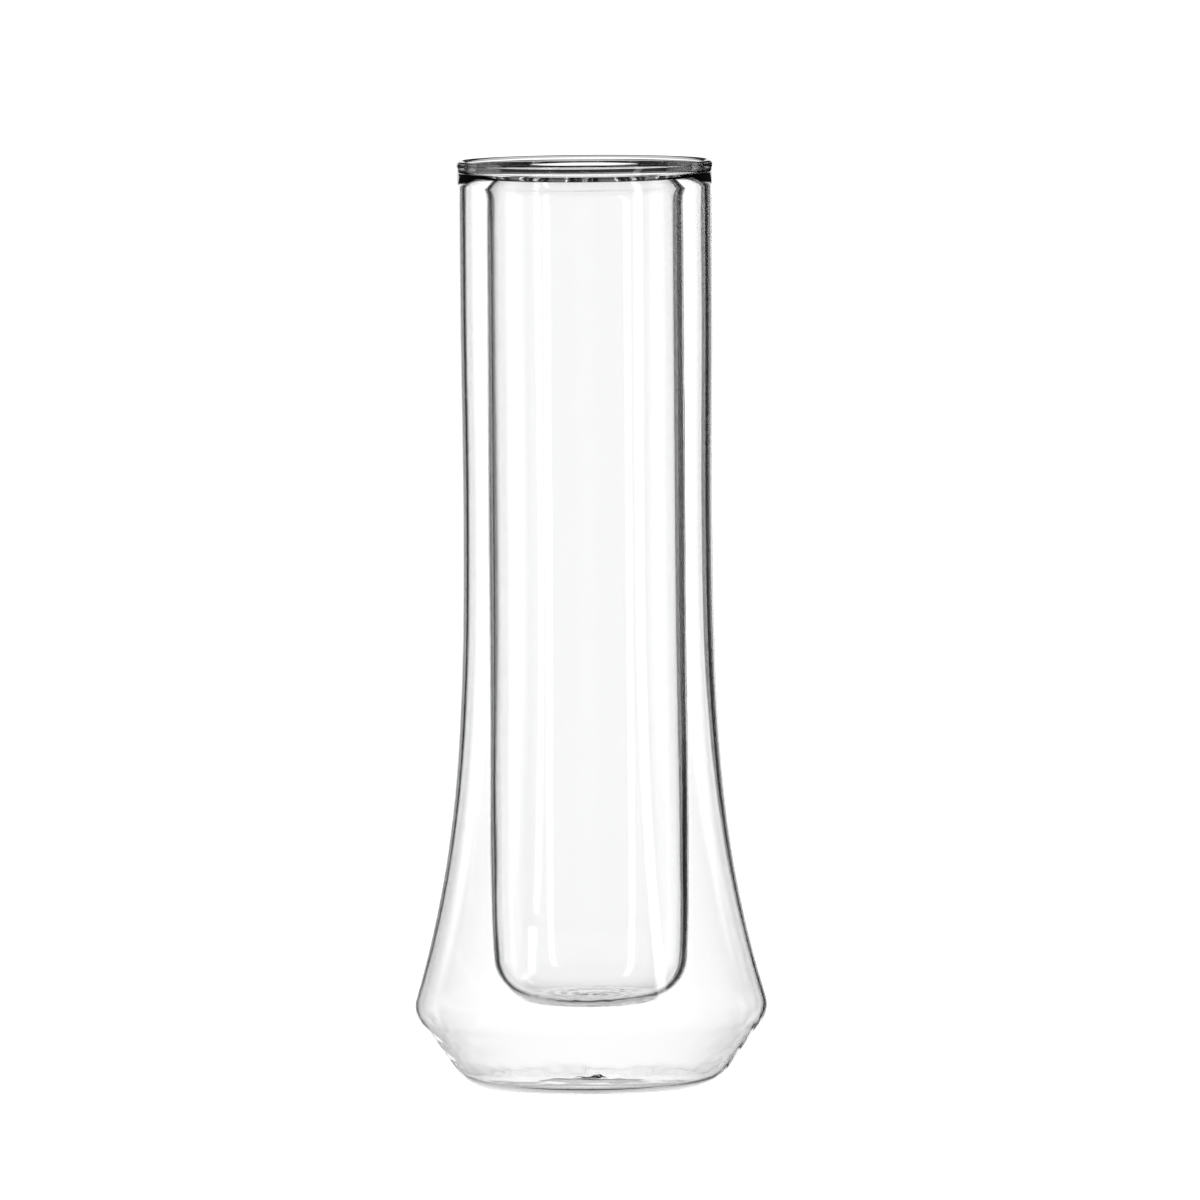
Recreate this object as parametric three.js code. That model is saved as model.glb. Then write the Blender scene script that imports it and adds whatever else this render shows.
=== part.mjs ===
// Double-walled flower vase in clear borosilicate glass.
//
// Frame: millimetres, +Z up. The origin is the centre of the ring that the vase stands on,
// and Z is the axis that every piece is turned about.
//
// The pieces, from the outside in:
//   outer_shell  blown shell: straight neck, slow flare, rounded shoulder, bevelled foot
//   inner_liner  round-bottomed tube that holds the water, with a lip flared out to the neck
//   rim_bead     ring of melted glass that joins the lip of the liner to the neck of the shell
//   vent_seal    drop of glass that closes the hole which let the hot air out of the gap
//
// The air between shell and liner stays trapped, so the water side never touches the outside.
// Every outline below is half a cross-section: x is the distance from the axis, y is the height.

import * as THREE from 'three';

// ---- Driving dimensions ----

const HEIGHT = 240;

// Outer shell
const SHELL_WALL = 2.05; // in the neck
const SHELL_WALL_LOW = 1.3; // in the foot and the shoulder, where the glass is blown out thinner
const THIN_FROM_Z = 120; // the wall starts to thin here, going down
const FOOT_RADIUS = 33.1; // where the bevel would meet the table if it had no heel
const SHOULDER_RADIUS = 47.0; // the shoulder's corner, before rounding
const SHOULDER_Z = 19.2;
const HEEL_FILLET = 10;
const SHOULDER_FILLET = 8.4;
const FLARE_LEAN = THREE.MathUtils.degToRad(16.4); // from vertical, just above the shoulder
const FLARE_FOOT_PULL = 38; // how far the flare keeps its lean
const FLARE_TOP_PULL = 63; // how far the flare runs almost straight up, below the waist
const WAIST_RADIUS = 32.7;
const WAIST_Z = 151;
const NECK_RADIUS = 33.1;
const NECK_Z = 205; // the neck is a straight tube above this

// Underside of the shell
const RECESS_RADIUS = 20; // inner edge of the flat ring that the vase stands on
const RECESS_HEIGHT = 1.0;
const VENT_RADIUS = 2.5;

// Inner liner
const LINER_WALL = 1.6;
const LINER_RADIUS = 25.5;
const LINER_STRAIGHT_Z = 130; // the liner is a straight tube above this
const LINER_BELLY_RADIUS = 25.9;
const LINER_BELLY_Z = 62;
const LINER_CORNER_FILLET = 12.4;
const LINER_CORNER_RADIUS = 13; // distance of the corner fillet's centre from the axis
const LINER_CORNER_Z = 33.7; // height of the corner fillet's centre
const LINER_CORNER_LEAN = THREE.MathUtils.degToRad(3);
const LINER_DISH_RADIUS = 120; // the floor of the liner is part of a sphere this big

// Lip and rim
const LIP_DEPTH = 10.2; // the lip starts to flare this far below the top
const LIP_FILLET = 5.5; // on the side of the air gap
const LIP_FLARE = THREE.MathUtils.degToRad(75); // how far the lip turns out from the vertical
const CHAMFER_Z = 237.6; // the rim's inner chamfer starts here
const CHAMFER_LEAN = THREE.MathUtils.degToRad(44); // from vertical
const BEAD_HEIGHT = 3.0;
const BEAD_BULGE = 0.2; // how far the bead stands out from the neck
const CREST_INSET = 0.9; // from the bead's widest point in to its highest point

// Vent seal
const DROP_BELOW = 0.4;
const DROP_ABOVE = 0.5;

// Facets
const AROUND = 48;
const ARC_STEPS = 5;
const CURVE_STEPS = 6;

// ---- Derived dimensions ----

const JOINT_RADIUS = NECK_RADIUS - SHELL_WALL; // liner, bead and shell meet on this cylinder
const BEAD_Z = HEIGHT - BEAD_HEIGHT;
const LIP_Z = HEIGHT - LIP_DEPTH;
const CREST_RADIUS = NECK_RADIUS + BEAD_BULGE - CREST_INSET;
const LIP_CENTRE = new THREE.Vector2(LINER_RADIUS + LIP_FILLET, LIP_Z); // of the flare's two arcs
const RIGHT_ANGLE = Math.PI / 2;

// The bead's crest is an arc that runs into the chamfer, which goes straight down to the collar.
const BULGE_Z = HEIGHT - CREST_INSET;
const CREST_END = Math.PI - CHAMFER_LEAN;
const CHAMFER_TOP_RADIUS = CREST_RADIUS + CREST_INSET * Math.cos(CREST_END);
const CHAMFER_TOP_Z = BULGE_Z + CREST_INSET * Math.sin(CREST_END);
const COLLAR_RADIUS = CHAMFER_TOP_RADIUS - (CHAMFER_TOP_Z - CHAMFER_Z) * Math.tan(CHAMFER_LEAN);

// ---- Outlines ----

// Points along a path, each moved by depthAt(point) to the left of the way the path runs.
// A straight piece needs only its two ends, and a curve gets a few steps.
function trace(path, depthAt = () => 0) {
  const points = [];
  path.curves.forEach((curve, index) => {
    const steps = curve.isLineCurve ? 1 : curve.isEllipseCurve ? ARC_STEPS : CURVE_STEPS;
    for (let step = index === 0 ? 0 : 1; step <= steps; step += 1) {
      const point = curve.getPoint(step / steps);
      const tangent = curve.getTangent(step / steps);
      const left = new THREE.Vector2(-tangent.y, tangent.x);
      points.push(point.clone().addScaledVector(left, depthAt(point)));
    }
  });
  return points;
}

// Thickness of the shell: full in the neck, and thinner where the glass was blown out.
function shellWall(point) {
  const rise = THREE.MathUtils.clamp((point.y - SHOULDER_Z) / (THIN_FROM_Z - SHOULDER_Z), 0, 1);
  const share = (1 - Math.cos(Math.PI * rise)) / 2;
  return THREE.MathUtils.lerp(SHELL_WALL_LOW, SHELL_WALL, share);
}

// Outside of the shell, from the vent hole out along the underside and up to the bead.
function shellPath() {
  const bevel = Math.atan2(SHOULDER_Z, SHOULDER_RADIUS - FOOT_RADIUS);
  const standRadius = FOOT_RADIUS - HEEL_FILLET * Math.tan(bevel / 2);
  const recessPull = (RECESS_RADIUS - VENT_RADIUS) / 2;

  // The shoulder fillet touches the bevel below the corner and the flare above it.
  const turn = RIGHT_ANGLE + FLARE_LEAN - bevel;
  const setback = SHOULDER_FILLET * Math.tan(turn / 2);
  const alongBevel = new THREE.Vector2(Math.cos(bevel), Math.sin(bevel));
  const alongFlare = new THREE.Vector2(-Math.sin(FLARE_LEAN), Math.cos(FLARE_LEAN));
  const intoGlass = new THREE.Vector2(-Math.sin(bevel), Math.cos(bevel));
  const corner = new THREE.Vector2(SHOULDER_RADIUS, SHOULDER_Z);
  const filletStart = corner.clone().addScaledVector(alongBevel, -setback);
  const filletCentre = filletStart.clone().addScaledVector(intoGlass, SHOULDER_FILLET);
  const flareStart = corner.clone().addScaledVector(alongFlare, setback);
  const flareHandle = flareStart.clone().addScaledVector(alongFlare, FLARE_FOOT_PULL);
  const neckPull = (NECK_Z - WAIST_Z) * 0.4;

  const path = new THREE.Path();
  path.moveTo(VENT_RADIUS, RECESS_HEIGHT);
  path.bezierCurveTo(
    VENT_RADIUS + recessPull, RECESS_HEIGHT,
    RECESS_RADIUS - recessPull, 0,
    RECESS_RADIUS, 0,
  );
  path.lineTo(standRadius, 0);
  path.absarc(standRadius, HEEL_FILLET, HEEL_FILLET, -RIGHT_ANGLE, bevel - RIGHT_ANGLE);
  path.lineTo(filletStart.x, filletStart.y);
  path.absarc(filletCentre.x, filletCentre.y, SHOULDER_FILLET, bevel - RIGHT_ANGLE, FLARE_LEAN);
  path.bezierCurveTo(
    flareHandle.x, flareHandle.y,
    WAIST_RADIUS, WAIST_Z - FLARE_TOP_PULL,
    WAIST_RADIUS, WAIST_Z,
  );
  path.bezierCurveTo(
    WAIST_RADIUS, WAIST_Z + neckPull,
    NECK_RADIUS, NECK_Z - neckPull,
    NECK_RADIUS, NECK_Z,
  );
  path.lineTo(NECK_RADIUS, BEAD_Z);
  return path;
}

// Outside of the liner, from its lowest point out along the floor and up to the lip.
function linerPath() {
  const dishToFillet = LINER_DISH_RADIUS - LINER_CORNER_FILLET;
  const dishAngle = Math.asin(LINER_CORNER_RADIUS / dishToFillet);
  const dishCentreZ = LINER_CORNER_Z + dishToFillet * Math.cos(dishAngle);
  const cornerX = LINER_CORNER_RADIUS + LINER_CORNER_FILLET * Math.cos(LINER_CORNER_LEAN);
  const cornerZ = LINER_CORNER_Z - LINER_CORNER_FILLET * Math.sin(LINER_CORNER_LEAN);
  const bellyPull = (LINER_BELLY_Z - cornerZ) / 2;
  const straightPull = (LINER_STRAIGHT_Z - LINER_BELLY_Z) / 2;

  const path = new THREE.Path();
  path.moveTo(0, dishCentreZ - LINER_DISH_RADIUS);
  path.absarc(0, dishCentreZ, LINER_DISH_RADIUS, -RIGHT_ANGLE, dishAngle - RIGHT_ANGLE);
  path.absarc(
    LINER_CORNER_RADIUS, LINER_CORNER_Z, LINER_CORNER_FILLET,
    dishAngle - RIGHT_ANGLE, -LINER_CORNER_LEAN,
  );
  path.bezierCurveTo(
    cornerX + bellyPull * Math.tan(LINER_CORNER_LEAN), cornerZ + bellyPull,
    LINER_BELLY_RADIUS, LINER_BELLY_Z - bellyPull,
    LINER_BELLY_RADIUS, LINER_BELLY_Z,
  );
  path.bezierCurveTo(
    LINER_BELLY_RADIUS, LINER_BELLY_Z + straightPull,
    LINER_RADIUS, LINER_STRAIGHT_Z - straightPull,
    LINER_RADIUS, LINER_STRAIGHT_Z,
  );
  path.lineTo(LINER_RADIUS, LIP_Z);
  return path;
}

// Lip of the liner on the side of the air gap: a fillet that stops at the neck, under the bead.
function lipGapPath() {
  const endAngle = Math.PI - Math.acos((LIP_CENTRE.x - JOINT_RADIUS) / LIP_FILLET);
  const path = new THREE.Path();
  path.absarc(LIP_CENTRE.x, LIP_CENTRE.y, LIP_FILLET, Math.PI, endAngle, true);
  return path;
}

// Lip of the liner on the water side: from the bead down the rim's chamfer to its collar, then
// round the flare into the tube.
function lipWaterPath() {
  const across = LIP_FILLET + LINER_WALL;
  const flareEnd = Math.PI - LIP_FLARE;
  const flareX = LIP_CENTRE.x + across * Math.cos(flareEnd);
  const flareZ = LIP_CENTRE.y + across * Math.sin(flareEnd);
  const chamferRise = (JOINT_RADIUS - COLLAR_RADIUS) / Math.tan(CHAMFER_LEAN);
  const collarPull = (CHAMFER_Z - flareZ) / 2;
  const path = new THREE.Path();
  path.moveTo(JOINT_RADIUS, CHAMFER_Z + chamferRise);
  path.lineTo(COLLAR_RADIUS, CHAMFER_Z);
  path.bezierCurveTo(
    COLLAR_RADIUS, CHAMFER_Z - collarPull,
    flareX + collarPull * Math.sin(flareEnd), flareZ - collarPull * Math.cos(flareEnd),
    flareX, flareZ,
  );
  path.absarc(LIP_CENTRE.x, LIP_CENTRE.y, across, flareEnd, Math.PI);
  return path;
}

// Where the lip's two sides meet the cylinder that it shares with the bead and the top of the neck.
const lipGap = trace(lipGapPath());
const lipWater = trace(lipWaterPath());
const jointLow = new THREE.Vector2(JOINT_RADIUS, lipGap.at(-1).y);
const jointHigh = new THREE.Vector2(JOINT_RADIUS, lipWater[0].y);

function outerShellOutline() {
  const path = shellPath();
  const outside = trace(path);
  const inside = trace(path, shellWall).reverse();
  return [...outside, ...inside];
}

function innerLinerOutline() {
  const path = linerPath();
  const gapSide = trace(path);
  const waterSide = trace(path, () => LINER_WALL).reverse();
  return [
    ...gapSide,
    ...lipGap.slice(1, -1),
    jointLow,
    jointHigh,
    ...lipWater.slice(1, -1),
    ...waterSide,
  ];
}

function rimBeadOutline() {
  const bulgeRadius = NECK_RADIUS + BEAD_BULGE;
  const blendPull = (BULGE_Z - BEAD_Z) / 2;
  const path = new THREE.Path();
  path.moveTo(NECK_RADIUS, BEAD_Z);
  path.bezierCurveTo(
    NECK_RADIUS, BEAD_Z + blendPull,
    bulgeRadius, BULGE_Z - blendPull,
    bulgeRadius, BULGE_Z,
  );
  path.absarc(CREST_RADIUS, BULGE_Z, CREST_INSET, 0, CREST_END);
  return [...trace(path), jointHigh, new THREE.Vector2(JOINT_RADIUS, BEAD_Z)];
}

function ventSealOutline() {
  const ventTop = RECESS_HEIGHT + SHELL_WALL_LOW;
  const path = new THREE.Path();
  path.absellipse(0, RECESS_HEIGHT, VENT_RADIUS, DROP_BELOW, -RIGHT_ANGLE, 0);
  path.lineTo(VENT_RADIUS, ventTop);
  path.absellipse(0, ventTop, VENT_RADIUS, DROP_ABOVE, 0, RIGHT_ANGLE);
  return trace(path);
}

// ---- Solids ----

// Turns an outline about Z. An outline that leaves the axis is closed back to its first point.
function turnedSolid(outline) {
  const onAxis = (point) => Math.abs(point.x) < 1e-6;
  const points = outline.map((point) => (onAxis(point) ? new THREE.Vector2(0, point.y) : point));
  if (!onAxis(points[0])) {
    points.push(points[0].clone());
  }
  const geometry = new THREE.LatheGeometry(points, AROUND);
  geometry.rotateX(RIGHT_ANGLE);
  return geometry;
}

function glass(color) {
  return new THREE.MeshStandardMaterial({
    color,
    roughness: 0.03,
    metalness: 0,
    transparent: true,
    opacity: 0.3,
    side: THREE.DoubleSide,
  });
}

function piece(name, outline, material) {
  const mesh = new THREE.Mesh(turnedSolid(outline), material);
  mesh.name = name;
  return mesh;
}

const vase = new THREE.Group();
vase.add(
  piece('outer_shell', outerShellOutline(), glass(0xf4f7f7)),
  piece('inner_liner', innerLinerOutline(), glass(0xf2f6f6)),
  piece('rim_bead', rimBeadOutline(), glass(0xe9eeee)),
  piece('vent_seal', ventSealOutline(), glass(0xe9eeee)),
);

export default vase;
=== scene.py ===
"""A double-walled glass vase on a white studio floor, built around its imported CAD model.

Each of the four CAD pieces gets a finely turned glass piece of the same shape, with the slight
unevenness of blown glass. Everything is in metres, in the CAD model's frame: +Z up, with the
origin at the centre of the ring that the vase stands on.
"""

import math
import random

import bpy
from mathutils import Matrix, Vector


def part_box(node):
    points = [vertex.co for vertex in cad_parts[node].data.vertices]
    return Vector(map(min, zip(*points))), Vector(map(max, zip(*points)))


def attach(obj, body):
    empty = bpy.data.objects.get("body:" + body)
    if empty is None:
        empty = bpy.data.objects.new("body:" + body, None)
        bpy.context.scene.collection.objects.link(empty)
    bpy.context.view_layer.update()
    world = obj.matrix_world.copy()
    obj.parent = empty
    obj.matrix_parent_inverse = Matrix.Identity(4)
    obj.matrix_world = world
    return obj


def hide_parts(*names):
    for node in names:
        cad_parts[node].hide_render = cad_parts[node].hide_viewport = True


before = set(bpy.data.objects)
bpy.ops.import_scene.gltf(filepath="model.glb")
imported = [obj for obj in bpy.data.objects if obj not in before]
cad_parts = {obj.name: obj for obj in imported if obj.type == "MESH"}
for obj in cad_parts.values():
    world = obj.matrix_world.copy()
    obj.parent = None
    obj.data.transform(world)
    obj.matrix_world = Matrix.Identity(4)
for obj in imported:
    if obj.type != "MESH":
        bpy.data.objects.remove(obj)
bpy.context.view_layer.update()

MM = 0.001
RIGHT_ANGLE = math.pi / 2

# ---- Places that come from the frame ----

_, liner_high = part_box("inner_liner")
bead_low, bead_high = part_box("rim_bead")
seal_low, seal_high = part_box("vent_seal")

HEIGHT = bead_high.z
BULGE_RADIUS = bead_high.x
BEAD_Z = bead_low.z
JOINT_RADIUS = liner_high.x  # liner, bead and shell meet on this cylinder
VENT_RADIUS = seal_high.x

# ---- The same driving dimensions as the CAD model's ----

SHELL_WALL = 2.05 * MM  # in the neck
SHELL_WALL_LOW = 1.3 * MM  # in the foot and the shoulder, where the glass is blown out thinner
THIN_FROM_Z = 120 * MM
FOOT_RADIUS = 33.1 * MM  # where the bevel would meet the table if it had no heel
SHOULDER_RADIUS = 47.0 * MM  # the shoulder's corner, before rounding
SHOULDER_Z = 19.2 * MM
HEEL_FILLET = 10 * MM
SHOULDER_FILLET = 8.4 * MM
FLARE_LEAN = math.radians(16.4)
FLARE_FOOT_PULL = 38 * MM
FLARE_TOP_PULL = 63 * MM
WAIST_RADIUS = 32.7 * MM
WAIST_Z = 151 * MM
NECK_RADIUS = JOINT_RADIUS + SHELL_WALL
NECK_Z = 205 * MM
RECESS_RADIUS = 20 * MM
RECESS_HEIGHT = 1.0 * MM

LINER_WALL = 1.6 * MM
LINER_RADIUS = 25.5 * MM
LINER_STRAIGHT_Z = 130 * MM
LINER_BELLY_RADIUS = 25.9 * MM
LINER_BELLY_Z = 62 * MM
LINER_CORNER_FILLET = 12.4 * MM
LINER_CORNER_RADIUS = 13 * MM
LINER_CORNER_Z = 33.7 * MM
LINER_CORNER_LEAN = math.radians(3)
LINER_DISH_RADIUS = 120 * MM

LIP_DEPTH = 10.2 * MM
LIP_FILLET = 5.5 * MM
LIP_FLARE = math.radians(75)  # how far the lip turns out from the vertical
CHAMFER_Z = 237.6 * MM  # the rim's inner chamfer starts here
CHAMFER_LEAN = math.radians(44)
CREST_INSET = 0.9 * MM
LIP_Z = HEIGHT - LIP_DEPTH
CREST_RADIUS = BULGE_RADIUS - CREST_INSET
LIP_CENTRE = (LINER_RADIUS + LIP_FILLET, LIP_Z)  # of the flare's two arcs
BULGE_Z = HEIGHT - CREST_INSET
CREST_END = math.pi - CHAMFER_LEAN  # the crest's arc runs into the chamfer here
CHAMFER_TOP_RADIUS = CREST_RADIUS + CREST_INSET * math.cos(CREST_END)
CHAMFER_TOP_Z = BULGE_Z + CREST_INSET * math.sin(CREST_END)
COLLAR_RADIUS = CHAMFER_TOP_RADIUS - (CHAMFER_TOP_Z - CHAMFER_Z) * math.tan(CHAMFER_LEAN)

# ---- Fineness ----

AROUND = 320  # facets round the axis
LINE_STEP = 4 * MM  # longest steps along an outline, on its straight, curved and rounded stretches
CURVE_STEP = 2 * MM
ARC_STEP = math.radians(4)
UNEVEN_STEP = 0.8 * MM  # where the glass is uneven along the outline: the bevel and the liner's floor

# ---- Unevenness of blown glass: depths, how closely the waves follow each other, how they wander ----

DRAW_LINES = 0.003 * MM  # long streaks that drawing the tube leaves
CHILL_RINGS = 0.02 * MM  # rings that the cool mould leaves in the bevel
RING_PITCH = 0.8 * MM  # between one radian of a ring's wave and the next
RING_WANDER = 1.5
FLOOR_SWIRL = 0.045 * MM  # swirl where the liner's floor was closed in the flame
SWIRL_PITCH = 1.1 * MM
SWIRL_ARMS = 2
SWIRL_WANDER = 0.5
rng = random.Random(7)


# ---- Outlines: half cross-sections, as (distance from the axis, height) ----


def line(start, end, step=LINE_STEP):
    """Points from start to end, both included."""
    start, end = Vector(start), Vector(end)
    steps = max(1, math.ceil((end - start).length / step))
    return [start.lerp(end, i / steps) for i in range(steps + 1)]


def arc(centre, across, up, start, end, step=ARC_STEP):
    """Points along a circle's or an ellipse's arc between two angles."""
    steps = max(2, math.ceil(abs(end - start) / step))
    angles = [start + (end - start) * i / steps for i in range(steps + 1)]
    return [
        Vector((centre[0] + across * math.cos(a), centre[1] + up * math.sin(a)))
        for a in angles
    ]


def bezier(start, pull_from, pull_to, end):
    """Points along a cubic Bezier curve."""
    a, b, c, d = (Vector(p) for p in (start, pull_from, pull_to, end))
    steps = max(8, math.ceil(((b - a).length + (c - b).length + (d - c).length) / CURVE_STEP))
    points = []
    for i in range(steps + 1):
        t = i / steps
        s = 1 - t
        points.append(a * s**3 + b * (3 * s * s * t) + c * (3 * s * t * t) + d * t**3)
    return points


def joined(*stretches):
    """One outline out of stretches that each start where the last one ended."""
    points = list(stretches[0])
    for stretch in stretches[1:]:
        points += stretch[1:]
    return points


def moved_in(points, depth_at):
    """The outline moved to the left of the way it runs: the other side of a wall."""
    moved = []
    for i, point in enumerate(points):
        before = points[max(0, i - 1)]
        after = points[min(len(points) - 1, i + 1)]
        along = (after - before).normalized()
        moved.append(point + Vector((-along.y, along.x)) * depth_at(point))
    return moved


def shell_wall(point):
    """Thickness of the shell: full in the neck, and thinner where the glass was blown out."""
    rise = min(1, max(0, (point.y - SHOULDER_Z) / (THIN_FROM_Z - SHOULDER_Z)))
    return SHELL_WALL_LOW + (SHELL_WALL - SHELL_WALL_LOW) * (1 - math.cos(math.pi * rise)) / 2


def liner_wall(_point):
    return LINER_WALL


def shell_outside():
    """Outside of the shell, from the vent hole out along the underside and up to the bead."""
    bevel = math.atan2(SHOULDER_Z, SHOULDER_RADIUS - FOOT_RADIUS)
    stand_radius = FOOT_RADIUS - HEEL_FILLET * math.tan(bevel / 2)
    recess_pull = (RECESS_RADIUS - VENT_RADIUS) / 2
    setback = SHOULDER_FILLET * math.tan((RIGHT_ANGLE + FLARE_LEAN - bevel) / 2)
    along_bevel = Vector((math.cos(bevel), math.sin(bevel)))
    along_flare = Vector((-math.sin(FLARE_LEAN), math.cos(FLARE_LEAN)))
    into_glass = Vector((-math.sin(bevel), math.cos(bevel)))
    corner = Vector((SHOULDER_RADIUS, SHOULDER_Z))
    fillet_start = corner - along_bevel * setback
    fillet_centre = fillet_start + into_glass * SHOULDER_FILLET
    flare_start = corner + along_flare * setback
    heel_end = (
        stand_radius + HEEL_FILLET * math.sin(bevel),
        HEEL_FILLET * (1 - math.cos(bevel)),
    )
    waist = (WAIST_RADIUS, WAIST_Z)
    neck = (NECK_RADIUS, NECK_Z)
    neck_pull = (NECK_Z - WAIST_Z) * 0.4
    return joined(
        bezier(
            (VENT_RADIUS, RECESS_HEIGHT),
            (VENT_RADIUS + recess_pull, RECESS_HEIGHT),
            (RECESS_RADIUS - recess_pull, 0),
            (RECESS_RADIUS, 0),
        ),
        line((RECESS_RADIUS, 0), (stand_radius, 0)),
        arc(
            (stand_radius, HEEL_FILLET), HEEL_FILLET, HEEL_FILLET,
            -RIGHT_ANGLE, bevel - RIGHT_ANGLE,
        ),
        line(heel_end, fillet_start, UNEVEN_STEP),
        arc(fillet_centre, SHOULDER_FILLET, SHOULDER_FILLET, bevel - RIGHT_ANGLE, FLARE_LEAN),
        bezier(
            flare_start,
            flare_start + along_flare * FLARE_FOOT_PULL,
            (WAIST_RADIUS, WAIST_Z - FLARE_TOP_PULL),
            waist,
        ),
        bezier(
            waist,
            (WAIST_RADIUS, WAIST_Z + neck_pull),
            (NECK_RADIUS, NECK_Z - neck_pull),
            neck,
        ),
        line(neck, (NECK_RADIUS, BEAD_Z)),
    )


def liner_outside():
    """Outside of the liner, from its lowest point out along the floor and up to the lip."""
    dish_to_fillet = LINER_DISH_RADIUS - LINER_CORNER_FILLET
    dish_angle = math.asin(LINER_CORNER_RADIUS / dish_to_fillet)
    dish_centre_z = LINER_CORNER_Z + dish_to_fillet * math.cos(dish_angle)
    corner_end = (
        LINER_CORNER_RADIUS + LINER_CORNER_FILLET * math.cos(LINER_CORNER_LEAN),
        LINER_CORNER_Z - LINER_CORNER_FILLET * math.sin(LINER_CORNER_LEAN),
    )
    belly_pull = (LINER_BELLY_Z - corner_end[1]) / 2
    straight_pull = (LINER_STRAIGHT_Z - LINER_BELLY_Z) / 2
    belly = (LINER_BELLY_RADIUS, LINER_BELLY_Z)
    straight = (LINER_RADIUS, LINER_STRAIGHT_Z)
    return joined(
        arc(
            (0, dish_centre_z), LINER_DISH_RADIUS, LINER_DISH_RADIUS,
            -RIGHT_ANGLE, dish_angle - RIGHT_ANGLE, UNEVEN_STEP / LINER_DISH_RADIUS,
        ),
        arc(
            (LINER_CORNER_RADIUS, LINER_CORNER_Z), LINER_CORNER_FILLET, LINER_CORNER_FILLET,
            dish_angle - RIGHT_ANGLE, -LINER_CORNER_LEAN,
        ),
        bezier(
            corner_end,
            (corner_end[0] + belly_pull * math.tan(LINER_CORNER_LEAN), corner_end[1] + belly_pull),
            (LINER_BELLY_RADIUS, LINER_BELLY_Z - belly_pull),
            belly,
        ),
        bezier(
            belly,
            (LINER_BELLY_RADIUS, LINER_BELLY_Z + straight_pull),
            (LINER_RADIUS, LINER_STRAIGHT_Z - straight_pull),
            straight,
        ),
        line(straight, (LINER_RADIUS, LIP_Z)),
    )


def lip_gap_side():
    """Fillet that turns the liner out to the joint, on the side of the air gap."""
    end = math.pi - math.acos((LIP_CENTRE[0] - JOINT_RADIUS) / LIP_FILLET)
    return arc(LIP_CENTRE, LIP_FILLET, LIP_FILLET, math.pi, end)


def lip_water_side():
    """From the joint down the rim's chamfer and collar, then round the flare into the tube."""
    across = LIP_FILLET + LINER_WALL
    flare_end = math.pi - LIP_FLARE
    flare = arc(LIP_CENTRE, across, across, flare_end, math.pi)
    outward = Vector((math.sin(flare_end), -math.cos(flare_end)))
    chamfer_rise = (JOINT_RADIUS - COLLAR_RADIUS) / math.tan(CHAMFER_LEAN)
    collar = Vector((COLLAR_RADIUS, CHAMFER_Z))
    collar_pull = (CHAMFER_Z - flare[0].y) / 2
    return joined(
        line((JOINT_RADIUS, CHAMFER_Z + chamfer_rise), collar),
        bezier(
            collar,
            collar - Vector((0, collar_pull)),
            flare[0] + outward * collar_pull,
            flare[0],
        ),
        flare,
    )


joint_low = Vector((JOINT_RADIUS, lip_gap_side()[-1].y))
joint_high = Vector((JOINT_RADIUS, lip_water_side()[0].y))


# ---- Turning an outline into a solid ----

GLASS, FUSED = 0, 1  # material slots: a free surface, and a face melted to the next piece


class Section:
    """An outline that is built up stretch by stretch, each with its surface and its unevenness."""

    def __init__(self):
        self.points = []
        self.surfaces = []  # of the edge that ends at each point
        self.waves = []

    def add(self, points, surface=GLASS, wave=None):
        if self.points:
            points = points[1:]
        self.points += points
        self.surfaces += [surface] * len(points)
        self.waves += [wave] * len(points)


def turned(name, section):
    """The section turned about Z, as a closed mesh."""
    points = section.points
    closed = (points[0] - points[-1]).length < 1e-9
    if closed:
        points = points[:-1]
    count = len(points)
    angles = [2 * math.pi * i / AROUND for i in range(AROUND)]
    vertices = []
    rings = []
    for i, point in enumerate(points):
        if point.x < 1e-7:
            rings.append([len(vertices)])
            vertices.append((0.0, 0.0, point.y))
            continue
        before = points[i - 1] if closed or i > 0 else point
        after = points[(i + 1) % count] if closed or i < count - 1 else point
        along = (after - before).normalized()
        outward = Vector((along.y, -along.x))
        wave = section.waves[i]
        rings.append(list(range(len(vertices), len(vertices) + AROUND)))
        for angle in angles:
            p = point + outward * wave(angle, point) if wave else point
            vertices.append((p.x * math.cos(angle), p.x * math.sin(angle), p.y))
    faces = []
    surfaces = []
    for i in range(count if closed else count - 1):
        low, high = rings[i], rings[(i + 1) % count]
        surface = section.surfaces[i + 1 if i + 1 < len(section.surfaces) else 0]
        for j in range(AROUND):
            k = (j + 1) % AROUND
            if len(low) == 1:
                faces.append((low[0], high[k], high[j]))
            elif len(high) == 1:
                faces.append((low[j], low[k], high[0]))
            else:
                faces.append((low[j], low[k], high[k], high[j]))
            surfaces.append(surface)
    mesh = bpy.data.meshes.new(name)
    mesh.from_pydata(vertices, [], faces)
    mesh.polygons.foreach_set("material_index", surfaces)
    mesh.polygons.foreach_set("use_smooth", [True] * len(faces))
    mesh.update()
    piece = bpy.data.objects.new(name, mesh)
    bpy.context.scene.collection.objects.link(piece)
    return piece


# ---- Unevenness ----


def fade(value, low, high):
    """0 up to low, 1 from high on, and a smooth rise between them."""
    share = min(1, max(0, (value - low) / (high - low)))
    return share * share * (3 - 2 * share)


def streaks(count):
    """Random waves round the axis: turns, share of the depth, start, and drift with the height."""
    return [
        (rng.randint(5, 46), rng.uniform(0.2, 1), rng.uniform(0, 2 * math.pi), rng.uniform(-9, 9))
        for _ in range(count)
    ]


def uneven(waves, angle, height):
    return sum(
        share * math.sin(turns * angle + start + drift * height)
        for turns, share, start, drift in waves
    )


shell_streaks = streaks(9)
liner_streaks = streaks(9)
ring_streaks = streaks(4)
swirl_streaks = streaks(4)


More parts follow.
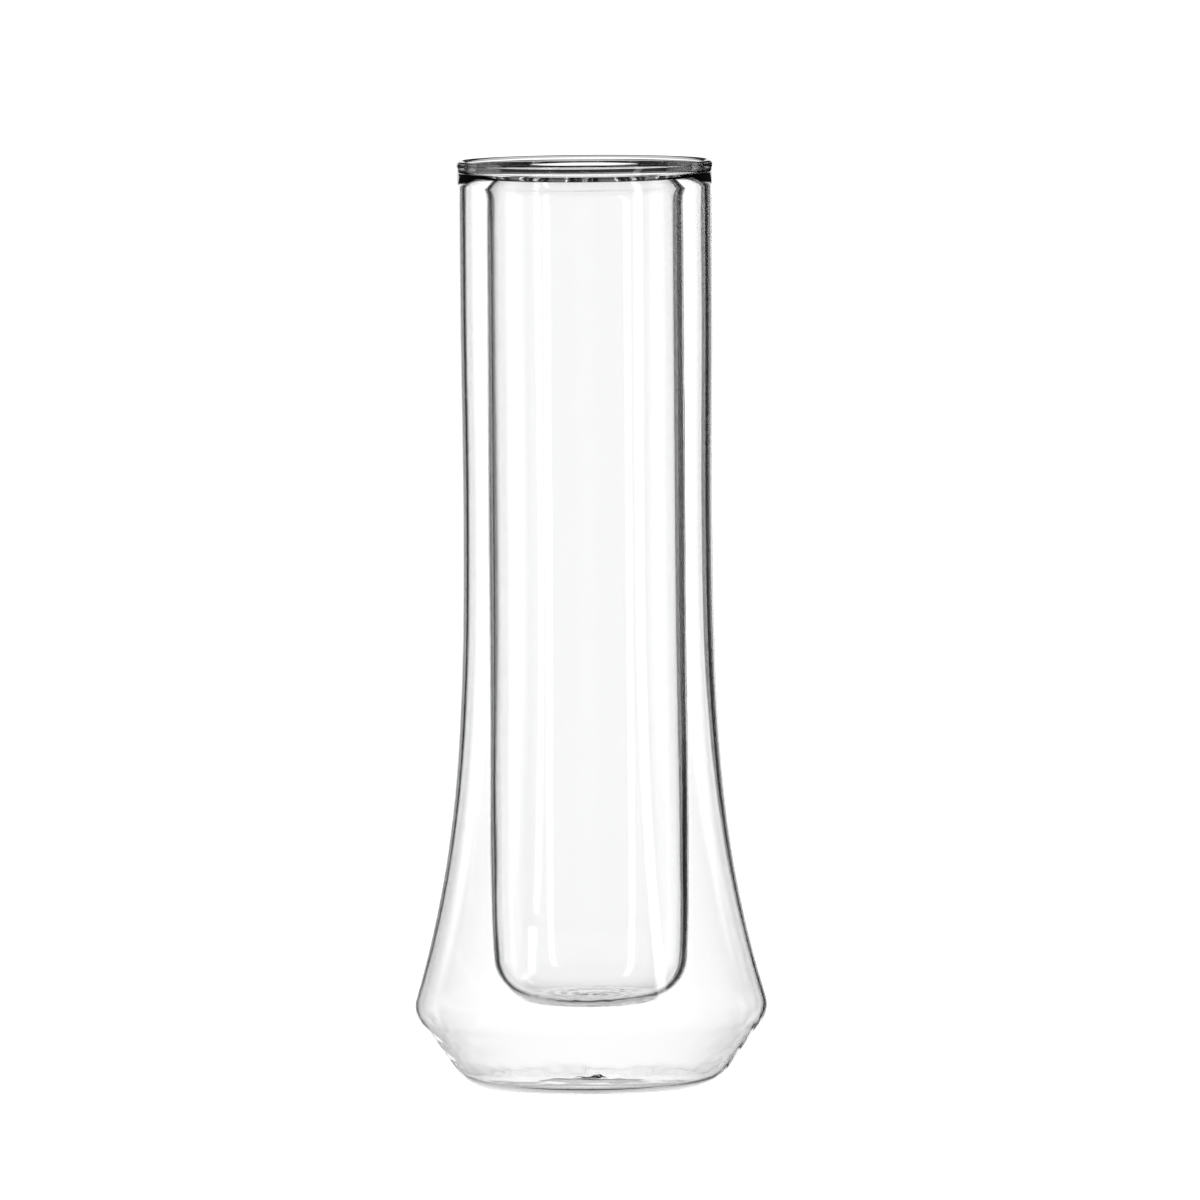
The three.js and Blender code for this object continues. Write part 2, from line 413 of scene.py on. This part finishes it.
def shell_inside_wave(angle, point):
    """Draw lines up the neck and the flare, and chill rings in the bevel."""
    up = fade(point.y, SHOULDER_Z, SHOULDER_Z + 20 * MM)
    clear = up * (1 - fade(point.y, BEAD_Z - 8 * MM, BEAD_Z - 2 * MM))
    drawn = DRAW_LINES * uneven(shell_streaks, angle, point.y) * clear
    low = fade(point.y, 3 * MM, 6 * MM)
    low *= 1 - fade(point.y, SHOULDER_Z - 4 * MM, SHOULDER_Z + 2 * MM)
    ring = math.sin(point.y / RING_PITCH + RING_WANDER * uneven(ring_streaks, angle, point.y))
    return drawn + CHILL_RINGS * low * ring


def liner_inside_wave(angle, point):
    """Draw lines up the tube, and a swirl on the floor."""
    up = fade(point.y, LINER_CORNER_Z, LINER_CORNER_Z + 12 * MM)
    clear = up * (1 - fade(point.y, LIP_Z - 8 * MM, LIP_Z))
    drawn = DRAW_LINES * uneven(liner_streaks, angle, point.y) * clear
    corner_end = LINER_CORNER_RADIUS + 8 * MM
    floor = fade(point.x, 0, 2 * MM) * (1 - fade(point.x, LINER_CORNER_RADIUS, corner_end))
    floor *= 1 - fade(point.y, LINER_CORNER_Z - 4 * MM, LINER_CORNER_Z)
    wander = SWIRL_WANDER * uneven(swirl_streaks, angle, 0)
    swirl = math.sin(point.x / SWIRL_PITCH + SWIRL_ARMS * angle + wander)
    return drawn + FLOOR_SWIRL * floor * swirl


# ---- Materials ----

ALONG_TUBE = (900, 900, 14)  # streaks a millimetre wide and some centimetres long
MELTED = (300, 300, 300)
BLOWN_TINT = (0.998, 0.999, 0.9985)
MELTED_TINT = (0.985, 0.99, 0.988)  # the flame leaves the melted glass a trace greyer
BLOWN_HAZE = 0.012
MELTED_HAZE = 0.02
GLASS_IOR = 1.473


def glass_material(name, tint, streak_scale, haze):
    """Clear glass: faint streaks run along the tube, with a trace of haze and of iron's green."""
    material = bpy.data.materials.new(name)
    material.use_nodes = True
    tree = material.node_tree
    shader = tree.nodes["Principled BSDF"]
    shader.inputs["Transmission Weight"].default_value = 1
    shader.inputs["IOR"].default_value = GLASS_IOR
    place = tree.nodes.new("ShaderNodeTexCoord")
    stretch = tree.nodes.new("ShaderNodeMapping")
    stretch.inputs["Scale"].default_value = streak_scale
    tree.links.new(place.outputs["Object"], stretch.inputs["Vector"])

    streak = tree.nodes.new("ShaderNodeTexNoise")
    streak.inputs["Scale"].default_value = 1
    streak.inputs["Detail"].default_value = 3
    tree.links.new(stretch.outputs["Vector"], streak.inputs["Vector"])
    bump = tree.nodes.new("ShaderNodeBump")
    bump.inputs["Strength"].default_value = 0.25
    bump.inputs["Distance"].default_value = 0.01 * MM
    tree.links.new(streak.outputs["Fac"], bump.inputs["Height"])
    tree.links.new(bump.outputs["Normal"], shader.inputs["Normal"])

    cloud = tree.nodes.new("ShaderNodeTexNoise")
    cloud.inputs["Scale"].default_value = 45
    cloud.inputs["Detail"].default_value = 2
    tree.links.new(place.outputs["Object"], cloud.inputs["Vector"])
    rough = tree.nodes.new("ShaderNodeMapRange")
    rough.inputs["From Min"].default_value = 0.5
    rough.inputs["From Max"].default_value = 0.8
    rough.inputs["To Min"].default_value = 0
    rough.inputs["To Max"].default_value = haze
    tree.links.new(cloud.outputs["Fac"], rough.inputs["Value"])
    tree.links.new(rough.outputs["Result"], shader.inputs["Roughness"])

    colour = tree.nodes.new("ShaderNodeValToRGB")
    colour.color_ramp.elements[0].color = (*(channel - 0.008 for channel in tint), 1)
    colour.color_ramp.elements[1].color = (*tint, 1)
    tree.links.new(streak.outputs["Fac"], colour.inputs["Fac"])
    tree.links.new(colour.outputs["Color"], shader.inputs["Base Color"])
    return material


def fused_material():
    """A face that is melted to the next piece: nothing shows there."""
    material = bpy.data.materials.new("fused_face")
    material.use_nodes = True
    shader = material.node_tree.nodes["Principled BSDF"]
    shader.inputs["Alpha"].default_value = 0
    return material


# ---- The four pieces ----

fused = fused_material()


def glass_piece(name, node, section, material):
    piece = turned(name, section)
    piece.data.materials.append(material)
    piece.data.materials.append(fused)
    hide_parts(node)
    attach(piece, "root")
    return piece


def build_shell():
    outside = shell_outside()
    inside = moved_in(outside, shell_wall)[::-1]
    section = Section()
    section.add(outside)
    section.add(line(outside[-1], inside[0]), FUSED)
    section.add(line(inside[0], joint_low), FUSED)
    free = [joint_low] + [point for point in inside if point.y < joint_low.y]
    section.add(free, wave=shell_inside_wave)
    section.add(line(inside[-1], outside[0]), FUSED)
    material = glass_material("shell_glass", BLOWN_TINT, ALONG_TUBE, BLOWN_HAZE)
    return glass_piece("outer_shell_glass", "outer_shell", section, material)


def build_liner():
    outside = liner_outside()
    inside = moved_in(outside, liner_wall)[::-1]
    section = Section()
    section.add(outside)
    section.add(lip_gap_side())
    section.add(line(joint_low, joint_high), FUSED)
    section.add(lip_water_side())
    section.add(inside, wave=liner_inside_wave)
    material = glass_material("liner_glass", BLOWN_TINT, ALONG_TUBE, BLOWN_HAZE)
    return glass_piece("inner_liner_glass", "inner_liner", section, material)


def build_bead():
    pull = (BULGE_Z - BEAD_Z) / 2
    corner = Vector((JOINT_RADIUS, BEAD_Z))
    section = Section()
    section.add(
        bezier(
            (NECK_RADIUS, BEAD_Z), (NECK_RADIUS, BEAD_Z + pull),
            (BULGE_RADIUS, BULGE_Z - pull), (BULGE_RADIUS, BULGE_Z),
        )
    )
    section.add(arc((CREST_RADIUS, BULGE_Z), CREST_INSET, CREST_INSET, 0, CREST_END))
    section.add(line((CHAMFER_TOP_RADIUS, CHAMFER_TOP_Z), joint_high))
    section.add(line(joint_high, corner), FUSED)
    section.add(line(corner, (NECK_RADIUS, BEAD_Z)), FUSED)
    material = glass_material("rim_glass", MELTED_TINT, MELTED, MELTED_HAZE)
    return glass_piece("rim_bead_glass", "rim_bead", section, material)


def build_seal():
    low, high = RECESS_HEIGHT, RECESS_HEIGHT + SHELL_WALL_LOW
    section = Section()
    section.add(arc((0, low), VENT_RADIUS, low - seal_low.z, -RIGHT_ANGLE, 0))
    section.add(line((VENT_RADIUS, low), (VENT_RADIUS, high)), FUSED)
    section.add(arc((0, high), VENT_RADIUS, seal_high.z - high, 0, RIGHT_ANGLE))
    material = glass_material("seal_glass", MELTED_TINT, MELTED, MELTED_HAZE)
    return glass_piece("vent_seal_glass", "vent_seal", section, material)


build_shell()
build_liner()
build_bead()
build_seal()


# ---- Studio ----
#
# Clear glass shows nothing but what stands round it, so the light is a closed tent of panels, as
# in a photographer's bright-field set: a lit backdrop behind the glass, black boards beside it
# that draw its edges, and softer light from the sides and from behind the camera. The tent hangs
# on the camera, so that walking round the vase moves the whole set, like turning the vase.

CAMERA_DISTANCE = 5.0
TENT_RADIUS = 20.0
BOARDS = 0.02  # what the black boards still give back
LENS = 579
ELEVATION = math.radians(3.75)
ROLL = math.radians(-0.43)
AIM = Vector((3.2 * MM, 0, HEIGHT / 2 + 5.95 * MM))

# Each panel: from and to, as degrees to the right of the view and then above it; soft edge in
# degrees; strength.
PANELS = (
    (-20, 15.5, -17, 14, 1.5, 1.15),  # backdrop
    (-18, -5, -15, 12, 4, 0.3),  # the backdrop's brighter sides
    (5, 15, -15, 12, 3, 0.3),
    (-20, 15.5, -40, -18, 4, 0.6),  # table top behind the vase
    (-62, -52, -9, 12, 3, 0.5),  # side panels
    (57, 65, -12, 12, 3, 0.5),
    (126, 133, -40, 40, 2, 3.5),  # strip light behind the camera, to the right
    (105, 200, -40, 26, 8, 0.3),  # room behind the camera
    (-200, -100, -40, 26, 8, 0.3),
)


def math_node(tree, operation, a, b=None):
    node = tree.nodes.new("ShaderNodeMath")
    node.operation = operation
    for socket, value in zip(node.inputs, (a, b)):
        if value is None:
            continue
        if isinstance(value, (int, float)):
            socket.default_value = value
        else:
            tree.links.new(value, socket)
    return node.outputs[0]


def mask(tree, value, low, high, soft):
    """1 where value lies between low and high, fading out over soft on either side."""
    rise = tree.nodes.new("ShaderNodeMapRange")
    rise.interpolation_type = "SMOOTHSTEP"
    rise.inputs["From Min"].default_value = low - soft / 2
    rise.inputs["From Max"].default_value = low + soft / 2
    fall = tree.nodes.new("ShaderNodeMapRange")
    fall.interpolation_type = "SMOOTHSTEP"
    fall.inputs["From Min"].default_value = high + soft / 2
    fall.inputs["From Max"].default_value = high - soft / 2
    tree.links.new(value, rise.inputs["Value"])
    tree.links.new(value, fall.inputs["Value"])
    return math_node(tree, "MULTIPLY", rise.outputs[0], fall.outputs[0])


def build_tent(camera):
    bpy.ops.mesh.primitive_uv_sphere_add(segments=64, ring_count=32, radius=TENT_RADIUS)
    tent = bpy.context.object
    tent.name = "studio_tent"
    tent.parent = camera
    tent.location = (0, 0, -CAMERA_DISTANCE)
    material = bpy.data.materials.new("studio_tent")
    material.use_nodes = True
    material.cycles.emission_sampling = "NONE"
    tree = material.node_tree
    tree.nodes.clear()
    place = tree.nodes.new("ShaderNodeTexCoord")
    direction = tree.nodes.new("ShaderNodeVectorMath")
    direction.operation = "NORMALIZE"
    parts = tree.nodes.new("ShaderNodeSeparateXYZ")
    tree.links.new(place.outputs["Object"], direction.inputs[0])
    tree.links.new(direction.outputs[0], parts.inputs[0])
    right, up, back = parts.outputs
    ahead = math_node(tree, "MULTIPLY", back, -1)
    across = math_node(tree, "DEGREES", math_node(tree, "ARCTAN2", right, ahead))
    above = math_node(tree, "DEGREES", math_node(tree, "ARCSINE", up))
    total = BOARDS
    for left_edge, right_edge, bottom, top, soft, strength in PANELS:
        panel = math_node(
            tree, "MULTIPLY", mask(tree, across, left_edge, right_edge, soft),
            mask(tree, above, bottom, top, soft),
        )
        total = math_node(tree, "ADD", total, math_node(tree, "MULTIPLY", panel, strength))
    emission = tree.nodes.new("ShaderNodeEmission")
    output = tree.nodes.new("ShaderNodeOutputMaterial")
    tree.links.new(total, emission.inputs["Strength"])
    tree.links.new(emission.outputs[0], output.inputs["Surface"])
    tent.data.materials.append(material)


def build_world():
    """White, for a camera that stands too far off to see the tent's backdrop."""
    world = bpy.data.worlds.new("studio")
    bpy.context.scene.world = world
    world.use_nodes = True
    background = world.node_tree.nodes["Background"]
    background.inputs["Color"].default_value = (1, 1, 1, 1)
    background.inputs["Strength"].default_value = 1.05


def build_floor():
    """A white sweep that only the camera sees: the glass sees the tent."""
    bpy.ops.mesh.primitive_circle_add(vertices=128, radius=4, fill_type="NGON")
    floor = bpy.context.object
    floor.name = "studio_floor"
    material = bpy.data.materials.new("studio_floor")
    material.use_nodes = True
    tree = material.node_tree
    tree.nodes.clear()
    output = tree.nodes.new("ShaderNodeOutputMaterial")
    emission = tree.nodes.new("ShaderNodeEmission")
    emission.inputs["Strength"].default_value = 1.05
    tree.links.new(emission.outputs[0], output.inputs["Surface"])
    floor.data.materials.append(material)
    floor.visible_diffuse = False
    floor.visible_glossy = False
    floor.visible_transmission = False
    floor.visible_shadow = False


def build_camera():
    """A long lens 5 m away, looking slightly down on the rim, with a slight roll."""
    data = bpy.data.cameras.new("camera")
    data.sensor_width = 36
    data.lens = LENS
    data.clip_end = 100
    camera = bpy.data.objects.new("camera", data)
    bpy.context.scene.collection.objects.link(camera)
    back = Vector((0, -math.cos(ELEVATION), math.sin(ELEVATION)))
    camera.location = AIM + back * CAMERA_DISTANCE
    camera.rotation_mode = "QUATERNION"
    roll = Matrix.Rotation(ROLL, 4, "Z").to_quaternion()
    camera.rotation_quaternion = (-back).to_track_quat("-Z", "Y") @ roll
    bpy.context.scene.camera = camera
    return camera


build_world()
build_floor()
build_tent(build_camera())

scene = bpy.context.scene
scene.view_settings.view_transform = "Standard"
scene.cycles.max_bounces = 64
scene.cycles.transmission_bounces = 64
scene.cycles.glossy_bounces = 64
scene.cycles.transparent_max_bounces = 64
